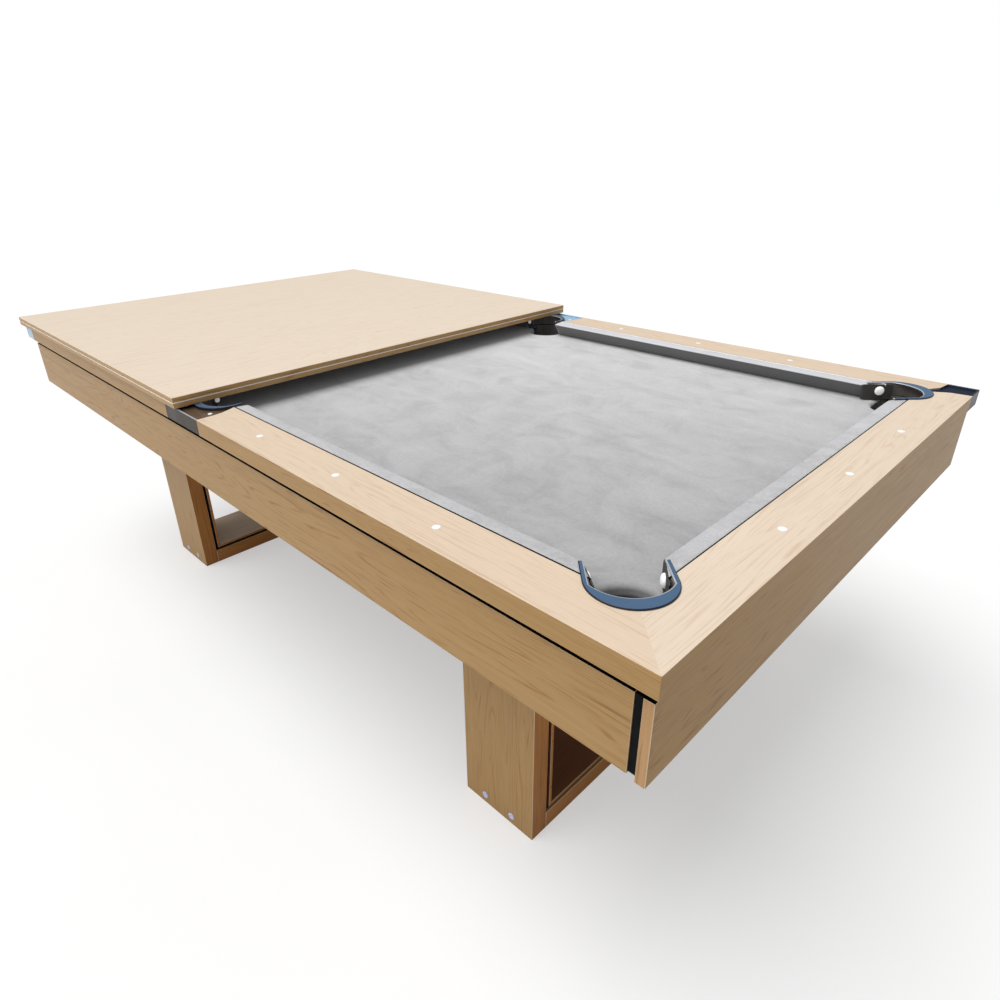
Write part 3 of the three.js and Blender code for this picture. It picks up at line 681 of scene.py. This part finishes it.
def add_facing(name, kind, sx, sy, at_end, cap_at):
    """The rubber facing on one end of a cushion, and the round fastener on it. cap_at is the
    fastener's place from the nose, 0, to the wood, 1."""
    (start, end), to_row = cushion_spec(kind, sx, sy)
    line = end if at_end else start
    inward = -1 if at_end else 1
    corner = at_end or kind == "end"
    back = -8 if corner else 0.5
    corner_foot = [(28, BED + 1.4), (32, BED + 2.6), (33.6, BED + 6)]
    side_foot = [(10.4, RAIL_BOTTOM + 1.5), (12, RAIL_BOTTOM + 2.4), (31.5, BED + 30.6)]
    shape = [
        (back, RAIL_BOTTOM + 2.5), *(corner_foot if corner else side_foot), (34.2, BED + 34.6),
        (34.4, BED + 36.6), (33.8, BED + 38.4), (31, BED + 39.2), (16, BED + 40.3), (4, BED + 40.6),
        (back, BED + 40.4),
    ]
    centre = Vector((14, BED + 22))
    rings = []
    for thick, scale in ((FACING - 0.2, 1.0), (0.8, 1.0), (0.0, 0.97)):
        ring = []
        for d, z in shape:
            moved = centre + (Vector((d, z)) - centre) * scale
            ring.append(to_row(line(moved.x) + inward * thick, moved.x, moved.y))
        rings.append(ring)
    vertices, faces = loft(rings)
    add_piece(name, vertices, faces, [rubber], slot="black_plastic")

    low, high = to_row(line(0), 0, 0), to_row(line(CUSHION), CUSHION, 0)
    tangent = (high - low).normalized()
    normal = Vector((tangent.y, -tangent.x, 0))
    if normal.dot(to_row(line(0) - inward, 0, 0) - low) < 0:
        normal.negate()
    d = CUSHION * (1 - cap_at)
    spot = to_row(line(d), d, BED + 25) / MM
    wide, tall = (11, 6.5) if corner else (6.5, 3)
    profile = [(share * wide, rise * tall) for share, rise in (
        (0.98, 0.02), (1, 0.16), (0.95, 0.45), (0.77, 0.75), (0.44, 0.94), (0.04, 1))]
    turned(name.replace("facing", "facing_cap"), (spot.x - SHIFT_X, spot.y, spot.z), normal, profile,
           glowing_cap_look, sides=28, slot="black_plastic")


for row, sy in ROWS:
    for column, sx in COLUMNS:
        spot = f"{row}_{column}"
        add_cushion("side", spot, sx, sy)
        add_facing(f"facing_side_{spot}_middle", "side", sx, sy, False, 0.5)
        add_facing(f"facing_side_{spot}_corner", "side", sx, sy, True, 0.7 if sy > 0 else 0.45)
for column, sx in COLUMNS:
    add_cushion("end", column, sx, 1)
    add_facing(f"facing_end_{column}_near", "end", sx, 1, False, 0.6)
    add_facing(f"facing_end_{column}_far", "end", sx, 1, True, 0.6)


# ---- bed cloth ------------------------------------------------------------------------------
# One sheet, stretched over the slate, that turns down over the slate's rounded edge at each pocket.
CLOTH_HALF_L, CLOTH_HALF_W = 1207, 647
THICK = 0.6
FOLD = 9.7                       # radius of the turn, on the cloth's upper side
FOLD_STEPS = 8
DROP = 14.0                      # straight part below the turn
LEDGE = 0.7                      # the hanging part is this far inside the slate's hole
ARC_STEPS = 36
GRID = 80                        # spacing of the flat part's inner points
ARC_MEAN = 0.63                  # mean inset of a quarter turn, as a share of its radius


def fold_start(pocket):
    """Radius about the pocket at which the cloth begins to turn down."""
    return pocket["notch"] - LEDGE + FOLD


def cloth_loop():
    """The flat part's outline, anticlockwise, and where each pocket's arc starts in it."""
    loop, starts = [], []
    order = ("near_left", "near_side", "near_right", "far_right", "far_side", "far_left")
    for p in sorted(pockets, key=lambda p: order.index(p["name"])):
        c, n = math.cos(p["turn"]), math.sin(p["turn"])
        inner = [(p["x"] + c * s - n * t, p["y"] + n * s + c * t)
                 for s, t in arc(0, fold_start(p), 1.5 * math.pi, 0.5 * math.pi, ARC_STEPS)]
        ends = []
        for x, y in (inner[0], inner[-1]):
            if p["x"] == 0:
                ends.append((x, math.copysign(CLOTH_HALF_W, p["y"])))
            else:
                room = min((CLOTH_HALF_L - abs(x)) / abs(c), (CLOTH_HALF_W - abs(y)) / abs(n))
                ends.append((x + c * room, y + n * room))
        starts.append((p, len(loop) + 1))
        loop += [ends[0], *inner, ends[1]]
    return loop, starts


def add_bed_cloth():
    loop, starts = cloth_loop()
    inside = [(x, y) for x in range(-1160, 1161, GRID) for y in range(-600, 601, GRID)
              if all(math.hypot(x - p["x"], y - p["y"]) > p["notch"] + FOLD + 22 for p in pockets)]
    points = [Vector(point) for point in loop + inside]
    edges = [(i, (i + 1) % len(loop)) for i in range(len(loop))]
    made, _, faces, origins, *_ = geometry.delaunay_2d_cdt(points, edges, [], 1, 1e-4)
    index = {source: i for i, sources in enumerate(origins) for source in sources}
    vertices = [place(v.x, v.y, BED) for v in made]
    faces = [tuple(face) for face in faces]
    area = sum(geometry.area_tri(*(made[i].to_3d() for i in face)) for face in faces)

    turns = [math.pi / 2 * i / FOLD_STEPS for i in range(1, FOLD_STEPS + 1)]
    profile = [(FOLD * math.sin(a), FOLD * (1 - math.cos(a))) for a in turns]
    profile += [(FOLD, FOLD + DROP * 0.5), (FOLD, FOLD + DROP)]
    for p, start in starts:
        radius = fold_start(p)
        arc_points = loop[start:start + ARC_STEPS + 1]
        last = [index[start + i] for i in range(ARC_STEPS + 1)]
        for back, down in profile:
            now = []
            for x, y in arc_points:
                out = Vector((x - p["x"], y - p["y"])).normalized() * (radius - back)
                now.append(len(vertices))
                vertices.append(place(p["x"] + out.x, p["y"] + out.y, BED - down))
            faces += [(last[i], last[i + 1], now[i + 1], now[i]) for i in range(ARC_STEPS)]
            last = now
        turned_down = math.pi / 2 * FOLD * (radius - FOLD * ARC_MEAN)
        area += math.pi * (turned_down + DROP * (radius - FOLD))

    obj = add_piece("cloth_on_bed", vertices, faces, [bed_cloth_look], slot="cloth", smooth=True)
    if sum(p.normal.z * p.area for p in obj.data.polygons) < 0:
        obj.data.flip_normals()
    body = obj.modifiers.new("thickness", "SOLIDIFY")
    body.thickness = THICK * MM
    body.offset = -1
    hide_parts("bed_cloth")


add_bed_cloth()


# ---- corner castings and side brackets --------------------------------------------------------
CASTING_REACH = 65               # along each outer face, from the corner
CASTING_THROAT = 7               # half the width of the plate where it meets the pocket
CASTING_SHOULDER = (104, 19)     # where the plate widens, in the pocket's own axes
BRACKET_HALF = 84.9
BRACKET_THROAT = 4.8
CAP_WALL = 4
WALL_EDGE = 0.8                  # chamfer
PLATE_BOTTOM = FACE_BOTTOM + 6
PLATE_TOP = RAIL_TOP - 4


def add_block(name, low, high, looks, edge=0.3, **how):
    """A block with chamfered edges, between two corners in millimetres. The last look is for its top."""
    (x0, y0, z0), (x1, y1, z1) = low, high
    rings = []
    for inset, z in ((edge, z0), (0, z0 + edge), (0, z1 - edge), (edge, z1)):
        rings.append([place(*point, z) for point in (
            (x0 + inset, y0 + edge), (x0 + edge, y0 + inset), (x1 - edge, y0 + inset),
            (x1 - inset, y0 + edge), (x1 - inset, y1 - edge), (x1 - edge, y1 - inset),
            (x0 + edge, y1 - inset), (x0 + inset, y1 - edge))])
    vertices, faces = loft(rings)
    top = len(looks) - 1
    add_piece(name, vertices, faces, looks, [0] * 16 + [top] * 8 + [0, top], **how)


def corner_distance(pocket):
    """From a corner pocket's centre to the outer corner of the rails."""
    return math.hypot(HALF_L - abs(pocket["x"]), HALF_W - abs(pocket["y"]))


def add_casting_plate(pocket, look):
    """The recessed plate between the pocket and the two outer walls."""
    name = pocket["name"]
    well = pocket["void"] + 0.4
    throat_s = well * math.cos(math.asin(CASTING_THROAT / well))
    far = corner_distance(pocket)
    reach = CASTING_REACH / math.sqrt(2)
    shoulder_s, shoulder_t = CASTING_SHOULDER
    half = [(throat_s, CASTING_THROAT), (shoulder_s, shoulder_t), (far - reach, reach - 0.6)]
    plan = [(s, -t) for s, t in half] + [(far - 0.8, 0.0)] + half[::-1]
    spread = math.atan2(CASTING_THROAT, throat_s)
    plan += arc(0, well, -spread, spread, 16)[::-1][1:-1]
    levels = ((0.0, PLATE_BOTTOM), (0.0, PLATE_TOP - 0.4), (0.4, PLATE_TOP))
    vertices, faces = loft([[in_pocket(pocket, s, t, z) for s, t in inset_loop(plan, inset)]
                            for inset, z in levels])
    obj = add_piece(f"casting_plate_{name}", vertices, faces, [look], slot="casting")
    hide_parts(f"corner_casting_{name}")


def add_corner_casting(pocket, plate_look, wall_look, top_look):
    """A casting: its plate, a thin lip along each rail end, and its two outer walls."""
    name = pocket["name"]
    add_casting_plate(pocket, plate_look)
    sx, sy = math.copysign(1, pocket["x"]), math.copysign(1, pocket["y"])
    far = corner_distance(pocket)
    reach = CASTING_REACH / math.sqrt(2)
    shoulder_s, shoulder_t = CASTING_SHOULDER
    for side, sign in (("side", sy * sx), ("end", -sy * sx)):
        lip = [(shoulder_s, shoulder_t * sign), (far - reach, (reach - 0.8) * sign),
               (far - reach, (reach - 1.9) * sign), (shoulder_s, (shoulder_t - 1.4) * sign)]
        rings = [[in_pocket(pocket, s, t, z) for s, t in lip] for z in (PLATE_TOP + 0.2, RAIL_TOP - 0.3)]
        vertices, faces = loft(rings)
        add_piece(f"casting_lip_{side}_{name}", vertices, faces, [top_look], slot="casting")
    walls = {
        "side": ((HALF_L - CASTING_REACH, HALF_L), (HALF_W - CAP_WALL, HALF_W)),
        "end": ((HALF_L - CAP_WALL, HALF_L), (HALF_W - CASTING_REACH, HALF_W - CAP_WALL)),
    }
    for side, (across, up) in walls.items():
        xs = sorted(sx * x for x in across)
        ys = sorted(sy * y for y in up)
        add_block(f"casting_wall_{side}_{name}", (xs[0], ys[0], FACE_BOTTOM), (xs[1], ys[1], RAIL_TOP),
                  [wall_look, top_look], WALL_EDGE, slot="casting")


def add_side_bracket(pocket, plate_look, wall_look, top_look):
    """A bracket: its recessed plate, which narrows to the pocket's two sides, and its outer wall."""
    row = pocket["name"].split("_")[0]
    outer = HALF_W - abs(pocket["y"]) - 0.6
    edge = [(outer, BRACKET_HALF - 0.6), (58, 83.6), (38, 79.6), (20, 72.2), (BRACKET_THROAT, 66.4)]
    well = pocket["void"] + 0.4
    sweep = math.pi / 2 - math.asin(BRACKET_THROAT / well)
    plan = [(s, -t) for s, t in edge[::-1]] + edge + arc(0, well, sweep, -sweep, 32)
    vertices, faces = loft([[in_pocket(pocket, s, t, z) for s, t in plan]
                            for z in (PLATE_BOTTOM, PLATE_TOP)])
    obj = add_piece(f"bracket_plate_{row}", vertices, faces, [plate_look], slot="bracket")
    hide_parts(f"side_bracket_{row}")
    ys = sorted(math.copysign(y, pocket["y"]) for y in (HALF_W - CAP_WALL, HALF_W))
    add_block(f"bracket_wall_{row}", (-BRACKET_HALF, ys[0], FACE_BOTTOM), (BRACKET_HALF, ys[1], RAIL_TOP),
              [wall_look, top_look], WALL_EDGE, slot="bracket")


def add_mitre_fill(pocket):
    """A line of wood filler in the open mitre at the corner without a casting."""
    ends = (pocket["void"] + 1.5, corner_distance(pocket) - 1.6)
    section = ((-0.98, 0.04), (0.98, 0.04), (0.12, 0.95), (-0.12, 0.95))
    vertices, faces = loft([[in_pocket(pocket, s, t, RAIL_TOP - down) for t, down in section]
                            for s in ends])
    add_piece(f"mitre_fill_{pocket['name']}", vertices, faces, [oak_y], slot="oak")


CAPS = {
    "near_side": (add_side_bracket, brown_steel, gunmetal, bright_edge),
    "far_side": (add_side_bracket, pale_film, pale_film, pale_film),
    "near_left": (add_corner_casting, pale_film, pale_film, pale_film),
    "far_left": (add_corner_casting, pale_film, pale_film, pale_film),
    "far_right": (add_corner_casting, deep_film, grey_blue, navy_edge),
    "near_right": (add_mitre_fill,),
}
for pocket in sorted(pockets, key=lambda p: p["name"] == "near_right"):
    add, *looks = CAPS[pocket["name"]]
    add(pocket, *looks)


# ---- small fittings -------------------------------------------------------------------------
# Each profile is (radius, height) from the outer rim to the middle.
DISC = [(7.2, -0.2), (7.2, 0.25), (6.9, 0.5), (5, 0.62), (0.3, 0.7)]
BOLT = [(8.5, -0.1), (8.5, 0.7), (7.8, 1.3), (4.2, 1.5), (3.6, 0.8), (0.3, 0.7)]
SCREW = [(5.2, -0.1), (5.2, 0.5), (4.4, 1.3), (2.4, 1.7), (1.8, 0.9), (0.3, 0.8)]
UP = (0, 0, 1)
SIGHT_X, SIGHT_Y = 1214, 636.5   # the lines that the sights stand on, along end and side rails
SIGHT_STEP = 276
END_SIGHTS = (-277, -4, 275)
SCREW_X = 60
SCREW_Y = {"near": -643, "far": 640}
BOLT_SPREAD, BOLT_Z = 40.5, 23
leg = span("leg_post_right_near")
LEG_X = (leg[0].x + leg[1].x) / 2 - SHIFT_X
LEG_Y = -leg[0].y

for row, sy in ROWS:
    for i, step in enumerate((-3, -2, -1, 1, 2, 3)):
        turned(f"sight_{row}_{i + 1}", (step * SIGHT_STEP, sy * SIGHT_Y, RAIL_TOP), UP, DISC, white_plastic,
               slot="felt")
for column, sx in COLUMNS:
    for i, y in enumerate(END_SIGHTS):
        turned(f"sight_{column}_{i + 1}", (sx * SIGHT_X, y, RAIL_TOP), UP, DISC, white_plastic, slot="felt")
for column, sx in COLUMNS:
    for row, sy in ROWS:
        for i, dx in enumerate((-BOLT_SPREAD, BOLT_SPREAD)):
            turned(f"bolt_{column}_{row}_{i + 1}", (sx * LEG_X + dx, sy * LEG_Y, BOLT_Z), (0, sy, 0), BOLT,
                   bolt_look, slot="bracket")
for row, y in SCREW_Y.items():
    for i, x in enumerate((-SCREW_X, SCREW_X)):
        turned(f"screw_{row}_{i + 1}", (x, y, PLATE_TOP), UP, SCREW, white_plastic, slot="bracket")

# Painted shadow in the gap under the rails: one black strip lies flat on the apron, one stands up behind
# it.
apron, panel = span("side_apron_near"), span("end_panel_right")
APRON_TOP, APRON_FACE = apron[1].z, -apron[0].y
END_FACE = panel[1].x - SHIFT_X
GAP_Y = HALF_W - 21.6
FLAT_SHADE_Z = (APRON_TOP + 0.2, APRON_TOP + 1.0)
UPRIGHT_Z = (FLAT_SHADE_Z[1] + 0.2, FACE_BOTTOM - 0.3)


def add_gap(name, xs, ys, zs):
    low, high = zip(sorted(xs), sorted(ys), zs)
    add_block(f"gap_{name}", low, high, [black_plastic], slot="black_plastic")


for row, sy in ROWS:
    add_gap(f"flat_shade_{row}", (apron[0].x - SHIFT_X, apron[1].x - SHIFT_X),
            (sy * GAP_Y, sy * (APRON_FACE - 0.3)), FLAT_SHADE_Z)
    add_gap(f"upright_{row}", (22 - HALF_L, HALF_L - 22), (sy * GAP_Y, sy * (GAP_Y + 2.4)), UPRIGHT_Z)
add_gap("flat_shade_right", (panel[0].x - SHIFT_X + 0.3, END_FACE - 0.3),
        (panel[0].y + 0.3, panel[1].y - 0.3), FLAT_SHADE_Z)
add_gap("upright_right", (HALF_L - 21.6, HALF_L - 19), (-GAP_Y, GAP_Y), UPRIGHT_Z)
# The left end's strip is the same painted shadow.
add_gap("strip_left", (-1218.6, -1216.3), (-650, 650), (754.6, RAIL_BOTTOM - 0.4))


# ---- dining top: foam spacer between the panels -----------------------------------------------
SPACER_WIDE = 14


def add_spacer():
    """A flat frame of foam that follows the panels' edges."""
    lower, upper = span("dining_panel_lower"), span("dining_panel_upper")
    x0, x1 = lower[0].x - SHIFT_X + 0.1, lower[1].x - SHIFT_X - 0.1
    y1 = lower[1].y - 0.1
    z0, z1 = lower[1].z + 0.05, upper[0].z - 0.05
    rings = []
    for inset, z in ((0, z0), (0, z1), (SPACER_WIDE, z1), (SPACER_WIDE, z0)):
        rings.append([place(*point, z) for point in (
            (x0 + inset, -y1 + inset), (x1 - inset, -y1 + inset),
            (x1 - inset, y1 - inset), (x0 + inset, y1 - inset))])
    vertices, faces = loft(rings, cap=False)
    count = len(rings[0])
    faces += [(3 * count + i, 3 * count + (i + 1) % count, (i + 1) % count, i) for i in range(count)]
    add_piece("foam_spacer", vertices, faces, [foam_look], body="dining_panel_lower", slot="felt")


add_spacer()


# ---- floor, light and background ---------------------------------------------------------------
def add_floor():
    shade = Shade("floor_pale", **{"Roughness": 0.9, "Specular IOR Level": 0.1})
    soft = shade.noise(shade.where, 1.5, 2, 0.5)
    look = shade.finish(shade.ramp(soft, (0.3, scaled(WHITE, 0.90)), (0.7, scaled(WHITE, 0.93))))
    # The floor adds light of its own to what is seen of it, but not to the table.
    glow = shade.node("Emission", {"Color": WHITE, "Strength": 1.0})
    seen = shade.math("MULTIPLY", shade.node("LightPath").outputs["Is Camera Ray"], 0.45)
    mixed = shade.node("MixShader", {0: seen, 1: shade.bsdf.outputs[0], 2: glow.outputs[0]})
    shade.tree.links.new(mixed.outputs[0], shade.output.inputs["Surface"])
    mesh = bpy.data.meshes.new("floor")
    reach = 40
    mesh.from_pydata([(-reach, -reach, 0), (reach, -reach, 0), (reach, reach, 0), (-reach, reach, 0)], [],
                     [(0, 1, 2, 3)])
    mesh.materials.append(look)
    floor = bpy.data.objects.new("floor", mesh)
    bpy.context.scene.collection.objects.link(floor)
    floor.location.z = -0.0006


def add_sun(heading, strength, spread):
    """A broad, even overhead light, like a large softbox: spread is its apparent width in degrees."""
    data = bpy.data.lights.new("key", "SUN")
    data.energy = strength
    data.angle = math.radians(spread)
    light = bpy.data.objects.new("key", data)
    light.location = (0, 0, 4)
    light.rotation_mode = "QUATERNION"
    light.rotation_quaternion = Vector(heading).to_track_quat("-Z", "Y")
    bpy.context.scene.collection.objects.link(light)


def add_world():
    """A soft white light from all round, in front of a backdrop that looks white."""
    world = bpy.data.worlds.new("studio")
    world.use_nodes = True
    tree = world.node_tree
    tree.nodes.clear()
    out = tree.nodes.new("ShaderNodeOutputWorld")
    mixer = tree.nodes.new("ShaderNodeMixShader")
    path = tree.nodes.new("ShaderNodeLightPath")
    tree.links.new(path.outputs["Is Camera Ray"], mixer.inputs[0])
    for socket, strength in ((1, 0.4), (2, 1.0)):
        light = tree.nodes.new("ShaderNodeBackground")
        light.inputs["Color"].default_value = WHITE
        light.inputs["Strength"].default_value = strength
        tree.links.new(light.outputs[0], mixer.inputs[socket])
    tree.links.new(mixer.outputs[0], out.inputs["Surface"])
    bpy.context.scene.world = world


add_floor()
add_world()
add_sun(heading=(0.2, 0.3, -0.93), strength=2.55, spread=46)
bpy.context.scene.view_settings.view_transform = "Standard"
